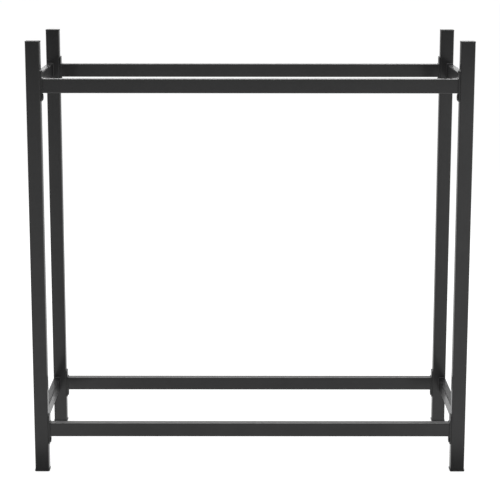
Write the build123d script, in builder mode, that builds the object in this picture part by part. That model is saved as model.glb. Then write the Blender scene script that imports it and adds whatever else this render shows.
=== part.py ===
from build123d import *
from math import atan, degrees, radians, tan
import os

# Log holder: an open, free-standing rack for firewood, in black coated steel tube.
# Two welded side frames stand left and right. Four long rails join them: each rail has an
# end plate at both ends, which hangs on a hook in the post and is held by one screw.
# Millimetres. X runs across the rack, Y from front to back and Z up.
# The origin is on the floor, under the middle of the rack.

os.makedirs("parts", exist_ok=True)

# Overall sizes, over the posts
width = 1000.0
depth = 400.0
height = 1000.0

# Clear height under the lower rails, and the same from the upper rails to the rack's top
rail_inset = 84.0

# Rectangular tube
tube_wall = 1.5
tube_radius = 2.2
post_face = 32.0
post_edge = 25.0
rail_height = 32.0
side_rail_edge = 16.0
least_radius = 0.3

# How far the long rails and their end plates lie inside the posts' front and back faces
rail_setback = 2.5
plate_setback = 0.5

# End plates of the long rails
plate_thickness = 3.0
plate_corner = 4.0
tab_margin = 2.25

# Hook on the back of the upper tab, and its slot in the post
hook_thickness = 2.5
hook_rise = 3.0
hook_neck = 8.0
hook_drop = 5.0
hook_lip = 2.5
hook_lead = 1.2
hook_wall_gap = 0.3
slot_side_gap = 0.5
slot_top_gap = 1.0
slot_cover = 1.5

# Flat-headed screw with a hexagon socket, through the lower tab
screw_radius = 3.0
screw_length = 20.0
screw_tip = 0.8
head_radius = 7.0
head_height = 2.2
head_edge = 0.6
head_gap = 0.25
socket_width = 4.0
socket_depth = 2.6
plate_hole_gap = 0.3

# Flush rivet nut in the wall of the post
nut_wall = 1.45
nut_rim = 1.0
nut_cone_angle = 90.0
nut_length = 16.0
nut_bulge = 1.5
nut_bulge_length = 1.6
nut_bulge_taper = 2.0
nut_fit_gap = 0.05
thread_gap = 0.05

# Weld beads of the side frames, and the thin end of every bead
frame_weld_leg = 3.0
weld_toe = 0.3

# Weld that fills the groove between a post's rounded corner and a side rail, ground almost flush
seam_start = 0.7
seam_width = 1.2

# Plugs in the ends of the posts
cap_flange = 3.0
cap_lip = 0.3
cap_edge = 0.8
foot_flange = 4.0
foot_lip = 1.0
foot_edge = 1.0
sleeve_depth = 16.0
sleeve_wall = 1.6
sleeve_gap = 0.8
fin_gap = 0.15
fin_thickness = 1.2
fin_pitch = 4.5
fin_count = 3

# Worked out from the sizes above
inner_radius = max(tube_radius - tube_wall, least_radius)
post_length = height - cap_flange - foot_flange
bore_face = post_face - 2 * tube_wall
bore_edge = post_edge - 2 * tube_wall
long_rail_edge = post_edge - 2 * rail_setback
long_rail_length = width - 2 * (post_face + plate_thickness)
side_rail_length = depth - 2 * post_edge
rail_weld_leg = rail_setback - plate_setback
hook_foot = rail_height / 2 + hook_rise
hook_back = tube_wall + hook_wall_gap
slot_height = hook_neck + hook_drop + slot_top_gap
slot_width = hook_thickness + 2 * slot_side_gap
hook_tab = hook_rise + slot_height + slot_cover
screw_tab = rail_weld_leg + head_gap + 2 * head_radius + tab_margin
screw_drop = rail_height / 2 + rail_weld_leg + head_gap + head_radius
plate_width = post_edge - 2 * plate_setback
plate_height = rail_height + 2 * max(hook_tab, screw_tab)
nut_bore = screw_radius + thread_gap
nut_radius = nut_bore + nut_wall
nut_head_radius = nut_radius + nut_rim
nut_bulge_radius = nut_radius + nut_bulge
nut_cone_depth = nut_rim / tan(radians(nut_cone_angle / 2))

sides = {"left": -1, "right": 1}
rows = {"front": -1, "back": 1}
levels = {
    "bottom": rail_inset + rail_height / 2,
    "top": height - rail_inset - rail_height / 2,
}


def post_plane(side, row, z, facing=1):
    """The level z across a post, centred on it, facing up or down."""
    x = sides[side] * (width - post_face) / 2
    y = rows[row] * (depth - post_edge) / 2
    return Plane(origin=(x, y, z), x_dir=(1, 0, 0), z_dir=(0, 0, facing))


def bay_plane(side, row, z, out=0.0):
    """The face of a post that looks into the log bay: x along the depth, y up, z into the bay."""
    sx = sides[side]
    x = sx * (width / 2 - post_face - out)
    y = rows[row] * (depth - post_edge) / 2
    return Plane(origin=(x, y, z), x_dir=(0, -sx, 0), z_dir=(-sx, 0, 0))


def frame_plane(side, row, z):
    """The face of a post that a side rail is welded to, centred on that rail."""
    sy = rows[row]
    x = sides[side] * (width - side_rail_edge) / 2
    return Plane(origin=(x, sy * side_rail_length / 2, z), x_dir=(sy, 0, 0), z_dir=(0, -sy, 0))


def tube_profile(across, up):
    """The section of a rectangular tube, for the sketch that is open."""
    RectangleRounded(across, up, tube_radius)
    RectangleRounded(across - 2 * tube_wall, up - 2 * tube_wall, inner_radius, mode=Mode.SUBTRACT)


def weld_ring(seat, across, up, leg):
    """A bead of triangular section round a tube that meets the seat end on."""
    slope = degrees(atan((leg - weld_toe) / leg))
    with BuildPart() as bead:
        with BuildSketch(seat):
            RectangleRounded(across + 2 * leg, up + 2 * leg, tube_radius + leg)
        extrude(amount=leg, taper=slope)
        with BuildSketch(seat):
            RectangleRounded(across, up, tube_radius)
        extrude(amount=leg, mode=Mode.SUBTRACT)
    return bead.part


def tube_plug(seat, lip, flange, edge):
    """A moulded plug for a post's end. The seat is the end of the tube and faces out of it."""
    with BuildPart() as plug:
        with BuildSketch(seat):
            RectangleRounded(post_face + 2 * lip, post_edge + 2 * lip, tube_radius + lip)
        extrude(amount=flange)
        outer_face = plug.faces().filter_by(Axis.Z).sort_by_distance(seat.origin)[-1]
        fillet(outer_face.edges(), edge)
        sleeve_x = bore_face - 2 * sleeve_gap
        sleeve_y = bore_edge - 2 * sleeve_gap
        with BuildSketch(seat):
            RectangleRounded(sleeve_x, sleeve_y, inner_radius)
            Rectangle(sleeve_x - 2 * sleeve_wall, sleeve_y - 2 * sleeve_wall, mode=Mode.SUBTRACT)
        extrude(amount=-sleeve_depth)
        for fin in range(fin_count):
            with BuildSketch(seat.offset(fin * fin_pitch - sleeve_depth + fin_thickness)):
                RectangleRounded(bore_face - 2 * fin_gap, bore_edge - 2 * fin_gap, inner_radius)
                Rectangle(sleeve_x - 2 * sleeve_wall, sleeve_y - 2 * sleeve_wall, mode=Mode.SUBTRACT)
            extrude(amount=fin_thickness)
    return plug.part


# Posts, each with a hook slot and a rivet nut hole for its upper and its lower rail
for side in sides:
    for row in rows:
        with BuildPart() as post:
            with BuildSketch(post_plane(side, row, foot_flange)):
                tube_profile(post_face, post_edge)
            extrude(amount=post_length)
            for z in levels.values():
                slot_centre = z + hook_foot + slot_height / 2
                with BuildSketch(bay_plane(side, row, slot_centre)):
                    RectangleRounded(slot_width, slot_height, slot_side_gap)
                extrude(amount=-2 * tube_wall, mode=Mode.SUBTRACT)
                with Locations(bay_plane(side, row, z - screw_drop)):
                    CounterSinkHole(
                        nut_radius + nut_fit_gap,
                        nut_head_radius + nut_fit_gap,
                        depth=2 * tube_wall,
                        counter_sink_angle=nut_cone_angle,
                    )
        post.part.label = f"post_{row}_{side}"
        export_step(post.part, f"parts/{post.part.label}.step")

# Side rails, flush with the outer faces of the posts
for side in sides:
    for level, z in levels.items():
        with BuildPart() as side_rail:
            with BuildSketch(frame_plane(side, "front", z)):
                tube_profile(side_rail_edge, rail_height)
            extrude(amount=side_rail_length)
        side_rail.part.label = f"side_rail_{side}_{level}"
        export_step(side_rail.part, f"parts/{side_rail.part.label}.step")

# Beads that weld the side rails to the posts: on top, on the bay side, underneath and in the outer groove
groove_x = post_face / 2 - tube_radius + seam_start + seam_width / 2
groove_y = (post_edge - tube_radius) / 2
for side, sx in sides.items():
    seats = [frame_plane(side, row, z) for row in rows for z in levels.values()]
    beads = [weld_ring(seat, side_rail_edge, rail_height, frame_weld_leg) for seat in seats]
    with BuildPart() as frame_welds:
        add(beads)
        outer_face = Plane(origin=(sx * (width / 2 - tube_radius), 0, 0), z_dir=(sx, 0, 0))
        split(bisect_by=outer_face, keep=Keep.BOTTOM)
        for row in rows:
            for z in levels.values():
                with BuildSketch(post_plane(side, row, z)):
                    with Locations((sx * groove_x, -rows[row] * groove_y)):
                        Rectangle(seam_width, tube_radius)
                    RectangleRounded(post_face, post_edge, tube_radius, mode=Mode.SUBTRACT)
                extrude(amount=rail_height / 2 - tube_radius, both=True)
    frame_welds.part.label = f"frame_welds_{side}"
    export_step(frame_welds.part, f"parts/{frame_welds.part.label}.step")

# Long rails, and the beads that weld their ends to the end plates
for row in rows:
    for level, z in levels.items():
        with BuildPart() as long_rail:
            with BuildSketch(bay_plane("left", row, z, out=plate_thickness)):
                tube_profile(long_rail_edge, rail_height)
            extrude(amount=long_rail_length)
        long_rail.part.label = f"long_rail_{row}_{level}"
        export_step(long_rail.part, f"parts/{long_rail.part.label}.step")

        seats = [bay_plane(side, row, z, out=plate_thickness) for side in sides]
        beads = [weld_ring(seat, long_rail_edge, rail_height, rail_weld_leg) for seat in seats]
        with BuildPart() as rail_welds:
            add(beads)
        rail_welds.part.label = f"rail_welds_{row}_{level}"
        export_step(rail_welds.part, f"parts/{rail_welds.part.label}.step")

# End plates, with the screw hole in the lower tab and the hook behind the upper one
for side in sides:
    for row in rows:
        for level, z in levels.items():
            seat = bay_plane(side, row, z)
            hook_side = Plane(origin=seat.origin, x_dir=-seat.z_dir, z_dir=seat.x_dir)
            with BuildPart() as end_plate:
                with BuildSketch(seat):
                    RectangleRounded(plate_width, plate_height, plate_corner)
                    with Locations((0, -screw_drop)):
                        Circle(screw_radius + plate_hole_gap, mode=Mode.SUBTRACT)
                extrude(amount=plate_thickness)
                with BuildSketch(hook_side):
                    with BuildLine():
                        Polyline(
                            (-plate_thickness, hook_foot),
                            (hook_back, hook_foot),
                            (hook_back, hook_foot - hook_drop),
                            (hook_back + hook_lip - hook_lead, hook_foot - hook_drop),
                            (hook_back + hook_lip, hook_foot - hook_drop + hook_lead),
                            (hook_back + hook_lip, hook_foot + hook_neck - hook_lead),
                            (hook_back + hook_lip - hook_lead, hook_foot + hook_neck),
                            (-plate_thickness, hook_foot + hook_neck),
                            close=True,
                        )
                    make_face()
                extrude(amount=hook_thickness / 2, both=True)
            end_plate.part.label = f"end_plate_{row}_{level}_{side}"
            export_step(end_plate.part, f"parts/{end_plate.part.label}.step")

# One screw, head up, with the underside of its head at zero
with BuildPart() as screw:
    with BuildSketch(Plane.XZ):
        with BuildLine():
            Polyline(
                (head_radius - head_edge, head_height),
                (0, head_height),
                (0, -screw_length),
                (screw_radius - screw_tip, -screw_length),
                (screw_radius, -screw_length + screw_tip),
                (screw_radius, 0),
                (head_radius, 0),
                (head_radius, head_height - head_edge),
            )
            RadiusArc(
                (head_radius, head_height - head_edge),
                (head_radius - head_edge, head_height),
                -head_edge,
            )
        make_face()
    revolve(axis=Axis.Z)
    with BuildSketch(Plane.XY.offset(head_height)):
        RegularPolygon(socket_width / 2, 6, major_radius=False)
    extrude(amount=-socket_depth, mode=Mode.SUBTRACT)

# One rivet nut, set in a wall whose outer face is at zero
with BuildPart() as rivet_nut:
    with BuildSketch(Plane.XZ):
        with BuildLine():
            Polyline(
                (nut_bore, 0),
                (nut_head_radius, 0),
                (nut_radius, -nut_cone_depth),
                (nut_radius, -tube_wall),
                (nut_bulge_radius, -tube_wall),
                (nut_bulge_radius, -tube_wall - nut_bulge_length),
                (nut_radius, -tube_wall - nut_bulge_length - nut_bulge_taper),
                (nut_radius, -nut_length),
                (nut_bore, -nut_length),
                close=True,
            )
        make_face()
    revolve(axis=Axis.Z)

# The eight screws and the eight rivet nuts in their places
joints = [(side, row, z - screw_drop) for side in sides for row in rows for z in levels.values()]
with BuildPart() as rail_screws:
    with Locations(*[Location(bay_plane(*joint, out=plate_thickness)) for joint in joints]):
        add(screw.part)
rail_screws.part.label = "rail_screws"
export_step(rail_screws.part, "parts/rail_screws.step")

with BuildPart() as rivet_nuts:
    with Locations(*[Location(bay_plane(*joint)) for joint in joints]):
        add(rivet_nut.part)
rivet_nuts.part.label = "rivet_nuts"
export_step(rivet_nuts.part, "parts/rivet_nuts.step")

# Caps on top of the posts and foot plugs under them
for side in sides:
    for row in rows:
        cap = tube_plug(post_plane(side, row, height - cap_flange), cap_lip, cap_flange, cap_edge)
        cap.label = f"post_cap_{row}_{side}"
        export_step(cap, f"parts/{cap.label}.step")
        foot = tube_plug(post_plane(side, row, foot_flange, facing=-1), foot_lip, foot_flange, foot_edge)
        foot.label = f"foot_plug_{row}_{side}"
        export_step(foot, f"parts/{foot.label}.step")
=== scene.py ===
# %% [markdown]
# # A log holder in black coated steel
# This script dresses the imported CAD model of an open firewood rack. The rack is four posts, four long
# rails and four short side rails of rectangular steel tube. Each long rail ends in two plates, which
# hang on hooks in the posts and are held by one flat-headed screw each.
# The CAD nodes already have the right shape and place, so most of them only get a finish here. The
# welds and the screws are small parts that repeat, so they are made again with Geometry Nodes, at the
# size and place that the CAD gives them.

import math

import bmesh
import bpy
from mathutils import Matrix, Vector


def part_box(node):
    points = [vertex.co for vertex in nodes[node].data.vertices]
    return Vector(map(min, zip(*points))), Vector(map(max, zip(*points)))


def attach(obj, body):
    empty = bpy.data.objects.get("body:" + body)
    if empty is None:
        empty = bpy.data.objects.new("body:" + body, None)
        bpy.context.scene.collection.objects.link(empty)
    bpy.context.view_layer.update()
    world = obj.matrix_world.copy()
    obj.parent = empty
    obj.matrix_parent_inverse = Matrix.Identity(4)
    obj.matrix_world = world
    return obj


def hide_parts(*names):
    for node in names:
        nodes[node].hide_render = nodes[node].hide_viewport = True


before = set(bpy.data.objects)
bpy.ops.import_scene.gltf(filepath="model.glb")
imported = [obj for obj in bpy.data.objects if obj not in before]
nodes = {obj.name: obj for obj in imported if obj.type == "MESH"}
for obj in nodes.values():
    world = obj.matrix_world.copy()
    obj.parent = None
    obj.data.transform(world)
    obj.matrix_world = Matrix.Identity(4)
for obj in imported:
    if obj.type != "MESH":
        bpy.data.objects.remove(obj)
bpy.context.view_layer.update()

# %% [markdown]
# Everything below works in metres, in the frame of the CAD model: X runs along the long rails, Y from
# the front to the back, and Z up. Numbers copied from a drawing would do as well today, but this way a
# weld or a screw follows the model if its size ever changes.

# %% Read places from the CAD
MM = 0.001
tube_radius = 2.2 * MM
long_rails = [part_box(name) for name in nodes if name.startswith("long_rail")]
side_rails = [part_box(name) for name in nodes if name.startswith("side_rail")]
print("long rails:", len(long_rails), "side rails:", len(side_rails))

# %% [markdown]
# ## The finishes
# Nothing on the rack has one flat colour. The steel has a satin black powder coat, the caps and feet
# are moulded plastic, and the screws and nuts are zinc plated. A photograph of each surface could be
# laid over the pieces as an image, but every tube would need unwrapping, and an image turns soft close
# up. A noise pattern needs no unwrapping and stays sharp. So each finish has one noise that drifts its
# colour, one that drifts its roughness, and finer ones that raise the surface as a bump.
# The patterns use object coordinates, which are metres here, so a noise scale of 900 means waves of
# about a millimetre on every piece alike.

# %% Helpers for finishes
noise_range = (0.3, 0.7)


def start_material(name):
    material = bpy.data.materials.new(name)
    material.use_nodes = True
    tree = material.node_tree
    shader = tree.nodes["Principled BSDF"]
    return material, tree, shader


def object_coordinates(tree):
    return tree.nodes.new("ShaderNodeTexCoord").outputs["Object"]


def noise(tree, coordinates, scale, detail=2.0, roughness=0.5):
    node = tree.nodes.new("ShaderNodeTexNoise")
    node.inputs["Scale"].default_value = scale
    node.inputs["Detail"].default_value = detail
    node.inputs["Roughness"].default_value = roughness
    tree.links.new(coordinates, node.inputs["Vector"])
    return node.outputs["Fac"]


def between(tree, value, span, low, high, smooth=False):
    node = tree.nodes.new("ShaderNodeMapRange")
    node.interpolation_type = "SMOOTHSTEP" if smooth else "LINEAR"
    node.inputs["From Min"].default_value = span[0]
    node.inputs["From Max"].default_value = span[1]
    node.inputs["To Min"].default_value = low
    node.inputs["To Max"].default_value = high
    tree.links.new(value, node.inputs["Value"])
    return node.outputs["Result"]


def shade_between(tree, value, dark, light):
    ramp = tree.nodes.new("ShaderNodeValToRGB")
    for stop, position, shade in zip(ramp.color_ramp.elements, noise_range, (dark, light)):
        stop.position = position
        stop.color = (*shade, 1.0)
    tree.links.new(value, ramp.inputs["Fac"])
    return ramp.outputs["Color"]


def bump(tree, height, distance, normal=None):
    node = tree.nodes.new("ShaderNodeBump")
    node.inputs["Strength"].default_value = 1.0
    node.inputs["Distance"].default_value = distance
    tree.links.new(height, node.inputs["Height"])
    if normal is not None:
        tree.links.new(normal, node.inputs["Normal"])
    return node.outputs["Normal"]


# %% [markdown]
# What all the finishes share is the drift of colour and roughness, so one helper makes it. It takes
# two shades and two roughness values, and for each pair the noise that moves between them: its scale,
# its detail and, where it differs from the usual, its own roughness.

# %% Helper for a drifting finish


def drifting_finish(name, shades, shade_noise, sheens, sheen_noise):
    material, tree, shader = start_material(name)
    place = object_coordinates(tree)
    shade = shade_between(tree, noise(tree, place, *shade_noise), *shades)
    tree.links.new(shade, shader.inputs["Base Color"])
    sheen = between(tree, noise(tree, place, *sheen_noise), noise_range, *sheens)
    tree.links.new(sheen, shader.inputs["Roughness"])
    return material, tree, shader, place


# %% [markdown]
# ### The powder coat
# Powder is melted onto the metal, so its skin is never quite flat: it has a fine orange peel, about a
# millimetre from crest to crest, with a finer grain on it, and its sheen drifts a little along a tube.
# A satin coat also has two sheens at once. Most of the light spreads widely over a face, and a weaker
# part gives a clearer image, which lets a post darken within a few centimetres of its top and of its
# foot. One roughness can't show both, and of two mixed shaders only one would outlast the export, so
# the shader's own Coat lies over the rough base as a smoother layer.

# %% Powder coat
coat_shades = (0.009, 0.009, 0.0095), (0.013, 0.013, 0.0135)
coat_sheens = (0.38, 0.46)
coat_shade_noise, coat_sheen_noise = (14.0, 3.0), (55.0, 4.0)
peel_scale, peel_height = 900.0, 0.012 * MM
grain_scale, grain_height = 4200.0, 0.15 * peel_height


def make_powder_coat(name):
    material, tree, shader, place = drifting_finish(
        name, coat_shades, coat_shade_noise, coat_sheens, coat_sheen_noise
    )
    peel = bump(tree, noise(tree, place, peel_scale, detail=1.0), peel_height)
    grain = bump(tree, noise(tree, place, grain_scale), grain_height, peel)
    tree.links.new(grain, shader.inputs["Normal"])
    tree.links.new(grain, shader.inputs["Coat Normal"])
    shader.inputs["Specular IOR Level"].default_value = 0.45
    shader.inputs["Coat Weight"].default_value = 0.5
    shader.inputs["Coat Roughness"].default_value = 0.12
    return material


coat = make_powder_coat("satin_black_coat")
print("made", coat.name, "with roughness", coat_sheens)

# %% [markdown]
# ### The moulded plastic
# The caps and foot plugs are moulded polyethylene, which is a little paler and duller than the coat.
# Its skin copies the sparked surface of the mould: a fine, even grain with no orange peel. It could
# borrow the coat's material, but then the caps would vanish into the posts that they close.

# %% Moulded plastic
plastic_shades = (0.022, 0.022, 0.022), (0.028, 0.028, 0.029)
plastic_sheens = (0.42, 0.54)
plastic_shade_noise, plastic_sheen_noise = (40.0, 2.0), (260.0, 3.0)
spark_scale, spark_height = 2600.0, 0.012 * MM


def make_plastic(name):
    material, tree, shader, place = drifting_finish(
        name, plastic_shades, plastic_shade_noise, plastic_sheens, plastic_sheen_noise
    )
    sparks = bump(tree, noise(tree, place, spark_scale), spark_height)
    tree.links.new(sparks, shader.inputs["Normal"])
    shader.inputs["IOR"].default_value = 1.49
    return material


plastic = make_plastic("black_moulded_plastic")
print("made", plastic.name, "with roughness", plastic_sheens)

# %% [markdown]
# ### The plated steel
# The screws are steel with a black zinc finish: smoother than the coat, with a faint blue cast, and
# with fine marks from forming the head. The rivet nuts inside the posts are bright zinc, which shows
# a cloudy pattern of small crystals. A metallic shader would dim the sheen of the black zinc with its
# own dark colour, so that one is made like a dark lacquer, and only the bright zinc is metallic.

# %% Screw and nut finishes
mark_scale, mark_height = 3000.0, 0.006 * MM


def make_plating(name, shades, sheens, cloud_scale, metallic):
    clouds = (cloud_scale, 4.0, 0.6)
    smears = (2.5 * cloud_scale, 3.0)
    material, tree, shader, place = drifting_finish(name, shades, clouds, sheens, smears)
    marks = bump(tree, noise(tree, place, mark_scale), mark_height)
    tree.links.new(marks, shader.inputs["Normal"])
    shader.inputs["Metallic"].default_value = metallic
    return material


black_shades = (0.022, 0.022, 0.024), (0.032, 0.032, 0.036)
bright_shades = (0.50, 0.50, 0.49), (0.68, 0.68, 0.66)
screw_black = make_plating("black_zinc", black_shades, (0.22, 0.34), 300.0, metallic=0.0)
nut_zinc = make_plating("bright_zinc", bright_shades, (0.25, 0.42), 220.0, metallic=1.0)
print("made", screw_black.name, "and", nut_zinc.name)

# %% [markdown]
# Each CAD node now gets its finish by its name. A finish goes into the slots that a node already has,
# so nothing else on the object changes.

# %% Dress the CAD nodes


def finish_for(name):
    if name.startswith(("post_cap", "foot_plug")):
        return plastic
    if name == "rail_screws":
        return screw_black
    if name == "rivet_nuts":
        return nut_zinc
    return coat


for name, node in nodes.items():
    for place in node.material_slots:
        place.material = finish_for(name)
print("dressed", len(nodes), "nodes")

# %% [markdown]
# ## Tools for Geometry Nodes
# A Geometry Nodes tree is a recipe: geometry goes in, steps change it, and geometry comes out. Its
# sizes are named inputs, so that one recipe can make several pieces. The helpers below start a tree
# with its inputs, add a step with its settings, and do arithmetic on values that may be numbers or
# outputs of other steps. The last one ends the tree: it turns instances into real mesh and sets the
# finish.

# %% Helpers for a recipe


def start_recipe(name, sizes):
    tree = bpy.data.node_groups.new(name, "GeometryNodeTree")
    tree.interface.new_socket("Geometry", in_out="INPUT", socket_type="NodeSocketGeometry")
    for label, kind in sizes.items():
        tree.interface.new_socket(label, in_out="INPUT", socket_type="NodeSocket" + kind)
    tree.interface.new_socket("Geometry", in_out="OUTPUT", socket_type="NodeSocketGeometry")
    return tree, tree.nodes.new("NodeGroupInput").outputs, tree.nodes.new("NodeGroupOutput").inputs


def feed(tree, socket, value):
    if isinstance(value, bpy.types.NodeSocket):
        tree.links.new(value, socket)
    else:
        socket.default_value = value


def add_step(tree, kind, settings=None, **inputs):
    node = tree.nodes.new(kind)
    for label, value in (settings or {}).items():
        setattr(node, label, value)
    for label, value in inputs.items():
        socket = next(s for s in node.inputs if s.name == label.replace("_", " ") and s.enabled)
        feed(tree, socket, value)
    return next(s for s in node.outputs if s.enabled)


def arithmetic(tree, operation, first, second=0.0):
    node = tree.nodes.new("ShaderNodeMath")
    node.operation = operation
    feed(tree, node.inputs[0], first)
    feed(tree, node.inputs[1], second)
    return node.outputs["Value"]


def times(tree, first, *others):
    product = first
    for other in others:
        product = arithmetic(tree, "MULTIPLY", product, other)
    return product


def finish_recipe(tree, geometry, material, result):
    solid = add_step(tree, "GeometryNodeRealizeInstances", Geometry=geometry)
    done = add_step(tree, "GeometryNodeSetMaterial", Geometry=solid, Material=material)
    tree.links.new(done, result["Geometry"])


# %% [markdown]
# The next helper cooks a recipe. It gives a start mesh the recipe as a modifier, has it worked out
# once, and keeps only the plain mesh that results. The modifier could stay, but a finished piece is
# plain mesh here, so that every later step and the export see the same thing. Points that lie on each
# other are then merged, and all faces are turned outwards.

# %% Helper that cooks a recipe
merge_distance = 0.002 * MM


def close_shell(mesh):
    shell = bmesh.new()
    shell.from_mesh(mesh)
    bmesh.ops.remove_doubles(shell, verts=shell.verts, dist=merge_distance)
    bmesh.ops.recalc_face_normals(shell, faces=shell.faces)
    open_edges = [edge for edge in shell.edges if len(edge.link_faces) != 2]
    shell.to_mesh(mesh)
    shell.free()
    print(mesh.name, "faces:", len(mesh.polygons), "open edges:", len(open_edges))


def cook(piece_name, start_mesh, tree, values):
    piece = bpy.data.objects.new(piece_name, start_mesh)
    bpy.context.collection.objects.link(piece)
    modifier = piece.modifiers.new(tree.name, "NODES")
    modifier.node_group = tree
    for socket in tree.interface.items_tree:
        if socket.in_out == "INPUT" and socket.name in values:
            modifier[socket.identifier] = values[socket.name]
    bpy.context.view_layer.update()
    worked_out = piece.evaluated_get(bpy.context.evaluated_depsgraph_get())
    done = bpy.data.meshes.new_from_object(worked_out)
    piece.modifiers.clear()
    piece.data = done
    done.name = piece_name
    close_shell(done)
    return piece


# %% [markdown]
# ## The welds
# A welder lays a bead as a row of small overlapping puddles, so its surface has ripples, one for each
# puddle, and its width wanders a little. The CAD model has plain beads with a straight slope. A bump in
# the material could fake the ripples, but a bead is seen from the side, where its outline counts. So
# each bead is real mesh: a line in the corner between two faces, with a small circle swept along it.
# The circle grows and shrinks once for every ripple, and a noise makes the bead wander. About half of
# the swept tube lies inside the steel, and the rest is the bead that shows.

# %% A recipe for a weld bead
points_per_ripple = 5.0
bead_sides = 12
wander_noise = 260.0
noise_middle = 0.5


def make_bead_recipe():
    sizes = {
        "Bead Radius": "Float", "Ripple Pitch": "Float", "Ripple Height": "Float",
        "Wander": "Float", "Seed": "Float", "Finish": "Material",
    }
    tree, given, result = start_recipe("weld_bead", sizes)
    line = add_step(tree, "GeometryNodeMeshToCurve", Mesh=given["Geometry"])
    step = arithmetic(tree, "DIVIDE", given["Ripple Pitch"], points_per_ripple)
    fine_line = add_step(tree, "GeometryNodeResampleCurve", {"mode": "LENGTH"}, Curve=line, Length=step)

    along = tree.nodes.new("GeometryNodeSplineParameter").outputs["Length"]
    turns = times(tree, arithmetic(tree, "DIVIDE", along, given["Ripple Pitch"]), math.pi)
    ripple = arithmetic(tree, "ABSOLUTE", arithmetic(tree, "SINE", turns))
    raised = times(tree, ripple, given["Ripple Height"])

    place = tree.nodes.new("GeometryNodeInputPosition").outputs["Position"]
    drift = add_step(
        tree, "ShaderNodeTexNoise", {"noise_dimensions": "4D"},
        Vector=place, W=given["Seed"], Scale=wander_noise,
    )
    wander = times(tree, arithmetic(tree, "SUBTRACT", drift, noise_middle), given["Wander"])
    radius = arithmetic(tree, "ADD", arithmetic(tree, "ADD", given["Bead Radius"], wander), raised)

    circle = add_step(tree, "GeometryNodeCurvePrimitiveCircle", Resolution=bead_sides, Radius=1.0)
    bead = add_step(
        tree, "GeometryNodeCurveToMesh",
        Curve=fine_line, Profile_Curve=circle, Scale=radius, Fill_Caps=True,
    )
    soft = add_step(tree, "GeometryNodeSetShadeSmooth", Geometry=bead)
    finish_recipe(tree, soft, given["Finish"], result)
    return tree


bead_recipe = make_bead_recipe()
print("recipe:", bead_recipe.name, "steps:", len(bead_recipe.nodes))

# %% [markdown]
# The lines come next. Round the end of a long rail the bead is a closed ring, so its line is a
# rectangle with rounded corners, a little larger than the tube. It could be drawn as a curve object,
# but a mesh of points and edges is shorter to write, holds all the lines at once, and the recipe turns
# it into curves.

# %% Lines for the beads


def rounded_ring(half_across, half_up, corner_radius, steps=6):
    ring = []
    for quarter, (sx, sy) in enumerate([(1, 1), (-1, 1), (-1, -1), (1, -1)]):
        centre_x = sx * (half_across - corner_radius)
        centre_y = sy * (half_up - corner_radius)
        for step in range(steps + 1):
            angle = math.pi / 2 * (quarter + step / steps)
            x = centre_x + corner_radius * math.cos(angle)
            y = centre_y + corner_radius * math.sin(angle)
            ring.append((x, y))
    return ring


def line_mesh(name, lines):
    mesh = bpy.data.meshes.new(name)
    points, edges = [], []
    for line, closed in lines:
        first = len(points)
        points += line
        edges += [(first + i, first + i + 1) for i in range(len(line) - 1)]
        if closed:
            edges.append((first + len(line) - 1, first))
    mesh.from_pydata(points, edges, [])
    return mesh


# %% [markdown]
# The bead of a long rail joins the tube to the face of its end plate. Its line stands off both by the
# same small rise.

# %% Beads round the ends of the long rails
rail_bead_rise = 0.5 * MM


def rail_end_lines(rise):
    lines = []
    for low, high in long_rails:
        middle = (low + high) / 2
        half = (high - low) / 2
        ring = rounded_ring(half.y + rise, half.z + rise, tube_radius + rise)
        for end in (low.x + rise, high.x - rise):
            lines.append(([(end, middle.y + y, middle.z + z) for y, z in ring], True))
    return lines


rail_bead_sizes = {
    "Bead Radius": 1.32 * MM, "Ripple Pitch": 1.3 * MM, "Ripple Height": 0.16 * MM,
    "Wander": 0.25 * MM, "Seed": 3.0, "Finish": coat,
}
rail_lines = line_mesh("rail_end_lines", rail_end_lines(rail_bead_rise))
rail_beads = cook("rail_end_beads", rail_lines, bead_recipe, rail_bead_sizes)
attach(rail_beads, "root")
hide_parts(*[name for name in nodes if name.startswith("rail_welds")])

# %% [markdown]
# The side rails get a heavier bead, because these joints keep the side frames stiff and square. A side
# rail is flush with the outside of the post, where no bead fits, so its line is a ring cut open: over
# the top, down the inner side and back underneath.

# %% Beads of the side frames
frame_bead_rise = 0.6 * MM


def side_rail_lines(rise, flush_gap):
    lines = []
    for low, high in side_rails:
        middle = (low + high) / 2
        half = (high - low) / 2
        outward = 1 if middle.x > 0 else -1
        ring = rounded_ring(half.x + rise, half.z + rise, tube_radius + rise)
        open_ring = [point for point in ring if point[0] < half.x - flush_gap]
        top_end = (half.x - flush_gap, half.z + rise)
        low_end = (half.x - flush_gap, -half.z - rise)
        bead = [top_end, *open_ring, low_end]
        for end in (low.y + rise, high.y - rise):
            lines.append(([(middle.x + outward * x, end, middle.z + z) for x, z in bead], False))
    return lines


frame_bead_sizes = {
    "Bead Radius": 1.95 * MM, "Ripple Pitch": 1.7 * MM, "Ripple Height": 0.22 * MM,
    "Wander": 0.4 * MM, "Seed": 7.0, "Finish": coat,
}
frame_lines = line_mesh("side_rail_lines", side_rail_lines(frame_bead_rise, tube_radius))
frame_beads = cook("side_frame_beads", frame_lines, bead_recipe, frame_bead_sizes)
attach(frame_beads, "root")
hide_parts("frame_welds_left", "frame_welds_right")

# %% [markdown]
# On the outside, where the side rail meets the rounded corner of the post, a groove is left. It is
# filled with a thin seam and ground almost flush, so it gets a finer, straight line of its own.

# %% Seams in the outer grooves
groove_inside = 1.0 * MM
groove_into_post = 0.5 * MM


def groove_lines(inside, into_post):
    lines = []
    for low, high in side_rails:
        outward = 1 if low.x > 0 else -1
        outer_x = max(abs(low.x), abs(high.x)) - inside
        for end in (low.y - into_post, high.y + into_post):
            bottom, top = low.z + tube_radius, high.z - tube_radius
            lines.append(([(outward * outer_x, end, bottom), (outward * outer_x, end, top)], False))
    return lines


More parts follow.
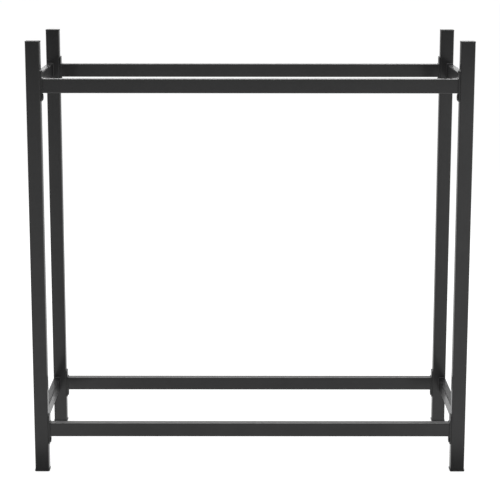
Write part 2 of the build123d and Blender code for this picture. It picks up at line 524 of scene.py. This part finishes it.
groove_sizes = {
    "Bead Radius": 0.72 * MM, "Ripple Pitch": 1.2 * MM, "Ripple Height": 0.10 * MM,
    "Wander": 0.1 * MM, "Seed": 11.0, "Finish": coat,
}
groove_mesh = line_mesh("groove_lines", groove_lines(groove_inside, groove_into_post))
groove_seams = cook("outer_groove_seams", groove_mesh, bead_recipe, groove_sizes)
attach(groove_seams, "root")
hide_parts("frame_welds_left", "frame_welds_right")

# %% [markdown]
# ## The screws
# Each lower tab is held by one flat-headed furniture screw with a hexagon socket. It could be joined
# from a cylinder, a smaller cylinder and a cut, but then its rim and its thread would still be missing.
# Its shape is almost all turned, so it is built in rings from the socket's floor to the tip: the walls
# of the socket, the flat top of the head with its rounded rim, the underside, the neck and the thread.
# A ring is a list of radii round the axis.

# %% Sizes of a screw
screw_low, screw_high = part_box("rail_screws")
seat_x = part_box("end_plate_front_top_right")[0].x
shank_length = screw_high.x - seat_x
head_radius = 7.0 * MM
head_height = 2.2 * MM
head_edge = 0.6 * MM
under_edge = 0.15 * MM
socket_width = 4.0 * MM
socket_depth = 2.6 * MM
socket_bevel = 0.2 * MM
shank_radius = 3.0 * MM
plain_neck = 1.5 * MM
thread_pitch = 1.0 * MM
thread_depth = 0.55 * MM
tip_length = 1.0 * MM
tip_radius = shank_radius - 1.1 * thread_depth
print("screw seats: x", round(seat_x / MM, 2), "length", round(shank_length / MM, 2), "mm")

# %% [markdown]
# For the socket the radius follows a hexagon. For the thread it rises and falls once a turn, and a
# little earlier in each next ring, which winds the thread into a helix.

# %% Rings of one screw
ring_points = 36
rim_steps = 5
rings_per_turn = 5
angles = [2 * math.pi * i / ring_points for i in range(ring_points)]


def round_ring(radius):
    return [radius] * ring_points


def hexagon_ring(width):
    sixth = math.pi / 3
    return [width / 2 / math.cos((angle + sixth / 2) % sixth - sixth / 2) for angle in angles]


def thread_ring(z, depth):
    ring = []
    for angle in angles:
        phase = (z / thread_pitch + angle / (2 * math.pi)) % 1.0
        ring.append(shank_radius - depth * abs(2 * phase - 1))
    return ring


def screw_rings():
    rings = [(head_height - socket_depth, hexagon_ring(socket_width))]
    rings.append((head_height - socket_bevel, hexagon_ring(socket_width)))
    rings.append((head_height, hexagon_ring(socket_width + 2 * socket_bevel)))
    for step in range(rim_steps + 1):
        turn = math.pi / 2 * step / rim_steps
        radius = head_radius - head_edge + head_edge * math.sin(turn)
        rings.append((head_height - head_edge + head_edge * math.cos(turn), round_ring(radius)))
    rings.append((under_edge, round_ring(head_radius)))
    rings.append((0.0, round_ring(head_radius - under_edge)))
    rings.append((0.0, round_ring(shank_radius)))
    rings.append((-plain_neck, round_ring(shank_radius)))
    ring_step = thread_pitch / rings_per_turn
    z = -plain_neck - ring_step
    while z > tip_length - shank_length:
        started = min(1.0, (-plain_neck - z) / thread_pitch)
        rings.append((z, thread_ring(z, thread_depth * started)))
        z -= ring_step
    rings.append((-shank_length, round_ring(tip_radius)))
    return rings


print("rings:", len(screw_rings()), "with", ring_points, "points each")

# %% [markdown]
# The rings become a mesh: faces with four corners join each ring to the next, and one face with many
# corners closes each end. The Screw modifier could wind a thread too, but it would leave that thread
# open at the neck and at the tip, and here both ends run out cleanly.

# %% Mesh of one screw


def mesh_from_rings(name, rings):
    mesh = bpy.data.meshes.new(name)
    points = [
        (radius * math.cos(angle), radius * math.sin(angle), z)
        for z, ring in rings
        for angle, radius in zip(angles, ring)
    ]
    faces = [list(range(ring_points))]
    for row in range(len(rings) - 1):
        start = row * ring_points
        for i in range(ring_points):
            j = (i + 1) % ring_points
            faces.append((start + i, start + ring_points + i, start + ring_points + j, start + j))
    faces.append(list(range(len(points) - 1, len(points) - ring_points - 1, -1)))
    mesh.from_pydata(points, [], faces)
    return mesh


one_screw = mesh_from_rings("one_screw", screw_rings())
print("one screw:", len(one_screw.polygons), "faces")

# %% [markdown]
# The eight screws sit at the corners of a box: two sides, front and back, upper and lower rails. Eight
# copies could be placed by hand, but the recipe only makes that box, puts a screw on each of its
# corners, and turns every head towards the middle of the rack. Nobody stops a screw at the same angle
# each time, so a random value with a fixed seed gives each one its own turn round its axis. Edges
# that bend by less than 50 degrees are shaded smooth, and sharper ones stay crisp.

# %% A recipe for the eight screws


def make_screw_recipe():
    sizes = {
        "Span": "Vector", "Middle": "Vector", "Smooth Below": "Float",
        "Seed": "Int", "Finish": "Material",
    }
    tree, given, result = start_recipe("eight_screws", sizes)
    bend = tree.nodes.new("GeometryNodeInputMeshEdgeAngle").outputs["Unsigned Angle"]
    gentle = arithmetic(tree, "LESS_THAN", bend, given["Smooth Below"])
    smooth_faces = add_step(tree, "GeometryNodeSetShadeSmooth", Geometry=given["Geometry"])
    screw = add_step(
        tree, "GeometryNodeSetShadeSmooth", {"domain": "EDGE"},
        Geometry=smooth_faces, Shade_Smooth=gentle,
    )
    corners = add_step(tree, "GeometryNodeMeshCube", Size=given["Span"])
    seats = add_step(tree, "GeometryNodeTransform", Geometry=corners, Translation=given["Middle"])

    place = tree.nodes.new("GeometryNodeInputPosition").outputs["Position"]
    inward = tree.nodes.new("ShaderNodeVectorMath")
    inward.operation = "MULTIPLY"
    tree.links.new(place, inward.inputs[0])
    inward.inputs[1].default_value = (-1.0, 0.0, 0.0)
    facing = add_step(
        tree, "FunctionNodeAlignRotationToVector", {"axis": "Z"}, Vector=inward.outputs["Vector"]
    )
    screws = add_step(
        tree, "GeometryNodeInstanceOnPoints", Points=seats, Instance=screw, Rotation=facing
    )

    turn = add_step(
        tree, "FunctionNodeRandomValue", {"data_type": "FLOAT"},
        Min=0.0, Max=math.tau, Seed=given["Seed"],
    )
    spin = add_step(tree, "ShaderNodeCombineXYZ", Z=turn)
    tightened = add_step(
        tree, "GeometryNodeRotateInstances", Instances=screws, Rotation=spin, Local_Space=True
    )
    finish_recipe(tree, tightened, given["Finish"], result)
    return tree


screw_recipe = make_screw_recipe()
print("recipe:", screw_recipe.name, "steps:", len(screw_recipe.nodes))

# %% [markdown]
# The size of that box comes from the CAD. Sideways it reaches from end plate to end plate, where the
# heads sit. The other way it is the box round the old screws, less the radius of a head at each end.

# %% Screws in their places
span_y = (screw_high.y - screw_low.y) - 2 * head_radius
span_z = (screw_high.z - screw_low.z) - 2 * head_radius
screw_places = {
    "Span": (2 * seat_x, span_y, span_z),
    "Middle": (0.0, 0.0, (screw_low.z + screw_high.z) / 2),
    "Smooth Below": math.radians(50.0), "Seed": 5, "Finish": screw_black,
}
screws = cook("socket_screws", one_screw, screw_recipe, screw_places)
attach(screws, "root")
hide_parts("rail_screws")

# %% [markdown]
# ## The studio
# A black coat is dark by itself, so most of what the eye sees on it is the studio mirrored in it. The
# front faces mirror the floor in front of the rack, the top faces mirror the wall behind it, and the
# inner sides of the posts mirror the floor at the back. Lamps alone could shape all that, but every
# lamp also lights the white floor. So the floor and the world have two looks. To the camera, and
# through anything clear, they are plain white. In reflections their brightness changes from place to
# place, and the faces of the posts and rails copy it.

# %% Helpers for the studio


def light_path(tree, *kinds):
    path = tree.nodes.new("ShaderNodeLightPath")
    answer = path.outputs[kinds[0]]
    for kind in kinds[1:]:
        answer = arithmetic(tree, "MAXIMUM", answer, path.outputs[kind])
    return answer


def mix_shaders(tree, choice, first, second):
    node = tree.nodes.new("ShaderNodeMixShader")
    tree.links.new(choice, node.inputs["Fac"])
    tree.links.new(first, node.inputs[1])
    tree.links.new(second, node.inputs[2])
    return node.outputs["Shader"]


def mix_levels(tree, first, second, share):
    step = arithmetic(tree, "SUBTRACT", second, first)
    return arithmetic(tree, "ADD", times(tree, step, share), first)


def split_axes(tree, vector):
    node = tree.nodes.new("ShaderNodeSeparateXYZ")
    tree.links.new(vector, node.inputs["Vector"])
    return node.outputs


# %% [markdown]
# The mirrored floor is bright around the rack, a little brighter to the right and dimmer to the left. It
# fades far in front, which darkens the tops of the faces, and slowly behind. Its middle dips a little
# close in front, and a painted shadow lies before each front foot, a dark patch that stands for the
# shade a real foot casts. The spans below are in metres, and the patch is placed by the front post.

# %% Places and levels of the mirrored floor
post_low, post_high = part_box("post_front_right")
floor_level, floor_right, floor_left = 0.90, 1.34, 0.70
right_span, left_span = (0.5, 2.0), (-2.0, -0.5)
far_span, far_level = (-14.2, -8.0), 0.02
dip_span, dip_across, dip_depth = (-1.2, -0.55), (0.30, 0.52), 0.18
back_gain, back_rest, back_reach = 0.98, 0.22, 1.5
# The patch is a painted shadow: the glow of the mirrored floor is dimmed before each front foot.
patch_inner = (post_low.x - 0.038, post_low.x - 0.008)
patch_outer = (post_high.x + 0.015, post_high.x + 0.045)
patch_before = (post_low.y - 0.26, post_low.y - 0.05)
patch_under = (post_low.y - 0.01, post_low.y + 0.04)
patch_depth = 0.68
print("dark patch from", round(patch_inner[0], 3), "to", round(patch_outer[1], 3), "m aside")

# %% [markdown]
# The level at a place is worked out in parts that are multiplied in the end: how bright the floor is
# from front to back, how much the painted foot shadows leave of it, and how it changes from left to
# right.

# %% Brightness of the mirrored floor


def floor_brightness(tree, axes, aside):
    far_front = between(tree, axes["Y"], far_span, far_level, floor_level, smooth=True)
    dip = between(tree, axes["Y"], dip_span, 0.0, dip_depth, smooth=True)
    in_middle = between(tree, aside, dip_across, 1.0, 0.0, smooth=True)
    near_front = arithmetic(tree, "SUBTRACT", floor_level, times(tree, dip, in_middle))
    front = arithmetic(tree, "MINIMUM", far_front, near_front)
    distance = arithmetic(tree, "MAXIMUM", axes["Y"], 0.0)
    spread = arithmetic(tree, "ADD", 1.0, arithmetic(tree, "DIVIDE", distance, back_reach))
    back = arithmetic(tree, "ADD", arithmetic(tree, "DIVIDE", back_gain, spread), back_rest)
    return arithmetic(tree, "MINIMUM", front, back)


# A painted shadow: a dark patch in the mirrored floor's glow before each front foot.
def painted_foot_shadow(tree, axes, aside):
    inner = between(tree, aside, patch_inner, 0.0, 1.0, smooth=True)
    outer = between(tree, aside, patch_outer, 1.0, 0.0, smooth=True)
    before = between(tree, axes["Y"], patch_before, 0.0, patch_depth, smooth=True)
    under = between(tree, axes["Y"], patch_under, 1.0, 0.0, smooth=True)
    return times(tree, inner, outer, before, under)


def mirrored_floor_level(tree):
    axes = split_axes(tree, object_coordinates(tree))
    aside = arithmetic(tree, "ABSOLUTE", axes["X"])
    level = floor_brightness(tree, axes, aside)
    unshaded = arithmetic(tree, "SUBTRACT", 1.0, painted_foot_shadow(tree, axes, aside))
    left = between(tree, axes["X"], left_span, floor_left, 1.0)
    right = between(tree, axes["X"], right_span, 1.0, floor_right)
    return times(tree, level, unshaded, left, right)


# %% [markdown]
# The floor the camera sees is dim paint that also glows, so that it comes out white and still keeps the
# soft shadows under the feet. The light that bounces off it comes from plain white paint.

# %% Floor
floor_reach = 60.0


def floor_shader(tree, kind, grey):
    node = tree.nodes.new(kind)
    node.inputs["Color"].default_value = (grey, grey, grey, 1.0)
    return node


def make_floor_paint():
    material, tree, shader = start_material("white_floor")
    tree.nodes.remove(shader)
    paint = floor_shader(tree, "ShaderNodeBsdfDiffuse", 0.8)
    dim_paint = floor_shader(tree, "ShaderNodeBsdfDiffuse", 0.35)
    glow = floor_shader(tree, "ShaderNodeEmission", 0.78)
    seen = tree.nodes.new("ShaderNodeAddShader")
    tree.links.new(dim_paint.outputs["BSDF"], seen.inputs[0])
    tree.links.new(glow.outputs["Emission"], seen.inputs[1])
    mirrored = floor_shader(tree, "ShaderNodeEmission", 1.0)
    tree.links.new(mirrored_floor_level(tree), mirrored.inputs["Strength"])
    shown = light_path(tree, "Is Camera Ray", "Is Transmission Ray")
    with_camera = mix_shaders(tree, shown, paint.outputs["BSDF"], seen.outputs["Shader"])
    glossy = light_path(tree, "Is Glossy Ray")
    with_gloss = mix_shaders(tree, glossy, with_camera, mirrored.outputs["Emission"])
    tree.links.new(with_gloss, tree.nodes["Material Output"].inputs["Surface"])
    return material


floor_mesh = bpy.data.meshes.new("studio_floor")
corners = [(-1, -1), (1, -1), (1, 1), (-1, 1)]
floor_mesh.from_pydata([(x * floor_reach, y * floor_reach, 0.0) for x, y in corners], [], [(0, 1, 2, 3)])
floor_mesh.materials.append(make_floor_paint())
studio_floor = bpy.data.objects.new("studio_floor", floor_mesh)
bpy.context.collection.objects.link(studio_floor)
print("floor:", 2 * floor_reach, "m wide")

# %% [markdown]
# The world is the rest of the studio. Everything the camera sees of it is plain white. For the light
# and the reflections it has a bright band low down straight behind the rack, which the top faces
# mirror, with a dimmer stretch on each side. It is white overhead, and dim in front, where the camera
# stands. The spans below are parts of a direction of length 1, so Z is 0 at the horizon and 1 straight
# up.

# %% Directions and levels of the world
behind_span = (0.2, 0.5)
band_ends, band_across, band_height = (0.19, 0.26), (-0.15, 0.22), (0.12, 0.34)
band_left, band_right, band_top = 0.95, 0.75, 0.40
dim_ends, dim_share = (0.45, 0.65), 0.80
side_span, front_level, side_level = (-0.6, -0.2), 0.14, 0.42
overhead_span = (0.45, 0.90)
print("bright band:", band_left, "to", band_right, "sides:", side_level, "front:", front_level)

# %% [markdown]
# The dim walls come first, then the band is laid over them, then the white overhead. The last step
# turns everything white for the camera.

# %% World light


def studio_brightness(tree):
    axes = split_axes(tree, tree.nodes.new("ShaderNodeTexCoord").outputs["Generated"])
    aside = arithmetic(tree, "ABSOLUTE", axes["X"])
    behind = between(tree, axes["Y"], behind_span, 0.0, 1.0, smooth=True)
    dim_stretch = between(tree, aside, dim_ends, dim_share, 0.0, smooth=True)
    undimmed = arithmetic(tree, "SUBTRACT", 1.0, times(tree, dim_stretch, behind))
    around = between(tree, axes["Y"], side_span, front_level, side_level, smooth=True)
    across = between(tree, axes["X"], band_across, band_left, band_right, smooth=True)
    upwards = between(tree, axes["Z"], band_height, 1.0, band_top, smooth=True)
    in_band = between(tree, aside, band_ends, 1.0, 0.0, smooth=True)
    walls = mix_levels(
        tree, times(tree, around, undimmed), times(tree, across, upwards), times(tree, in_band, behind)
    )
    overhead = between(tree, axes["Z"], overhead_span, 0.0, 1.0, smooth=True)
    return mix_levels(tree, walls, 1.0, overhead)


def make_world(name):
    world = bpy.data.worlds.new(name)
    world.use_nodes = True
    tree = world.node_tree
    background = tree.nodes["Background"]
    background.inputs["Color"].default_value = (1.0, 1.0, 1.0, 1.0)
    shown = light_path(tree, "Is Camera Ray", "Is Transmission Ray")
    level = mix_levels(tree, studio_brightness(tree), 1.0, shown)
    tree.links.new(level, background.inputs["Strength"])
    return world


bpy.context.scene.world = make_world("white_studio")
print("world:", bpy.context.scene.world.name)

# %% [markdown]
# Two softboxes finish the studio. A large one hangs over the rack, lights the floor and makes the soft
# shadows. A wide one stands high behind the rack and gives the top faces and the side rails their
# light. Neither shows to the camera, so that the background stays white from every side.

# %% Softboxes


def add_softbox(name, place, aim, size, power):
    data = bpy.data.lights.new(name, "AREA")
    data.shape = "RECTANGLE"
    data.size, data.size_y = size
    data.energy = power
    box = bpy.data.objects.new(name, data)
    bpy.context.collection.objects.link(box)
    box.location = place
    box.rotation_euler = (Vector(aim) - Vector(place)).to_track_quat("-Z", "Y").to_euler()
    box.visible_camera = False
    print(name, size[0], "by", size[1], "m,", power, "W")


add_softbox("top_softbox", place=(0.0, 0.2, 3.2), aim=(0.0, 0.0, 0.0), size=(3.0, 2.4), power=40.0)
add_softbox("back_softbox", place=(0.0, 2.8, 2.4), aim=(0.0, 0.0, 0.6), size=(4.4, 1.2), power=62.0)

# %% [markdown]
# ## The camera
# The camera stands 3.74 m in front of the middle of the rack and 1.27 m up, and looks down a little. It
# could be placed by eye, but then some rails would lie a few pixels off. So its place, its turn and
# its focal length come from lining up the edges of the posts and rails with the photograph. The middle
# of the lens is a little above the middle of the picture, which a small shift sets.

# %% Camera
PICTURE = 500.0
sensor_width = 36.0
camera_place = Vector((-7.732, -3738.549, 1266.560)) * MM
camera_pitch = 0.190114
camera_yaw = 0.002141
camera_roll = 0.001175
focal_pixels = 1591.30
centre_row = 225.0

ahead = Vector((
    math.sin(camera_yaw) * math.cos(camera_pitch),
    math.cos(camera_yaw) * math.cos(camera_pitch),
    -math.sin(camera_pitch),
))
level_right = Vector((math.cos(camera_yaw), -math.sin(camera_yaw), 0.0))
level_up = level_right.cross(ahead)
camera_right = math.cos(camera_roll) * level_right + math.sin(camera_roll) * level_up
camera_up = math.cos(camera_roll) * level_up - math.sin(camera_roll) * level_right
camera_data = bpy.data.cameras.new("photo_camera")
camera_data.sensor_fit = "HORIZONTAL"
camera_data.sensor_width = sensor_width
camera_data.lens = focal_pixels / PICTURE * sensor_width
camera_data.shift_y = (centre_row - PICTURE / 2) / PICTURE
camera_data.clip_end = 200.0
camera = bpy.data.objects.new("photo_camera", camera_data)
bpy.context.collection.objects.link(camera)
turn = Matrix((camera_right, camera_up, -ahead)).transposed().to_4x4()
camera.matrix_world = Matrix.Translation(camera_place) @ turn
bpy.context.scene.camera = camera
bpy.context.scene.view_settings.view_transform = "Standard"
print("lens:", round(camera_data.lens, 1), "mm")
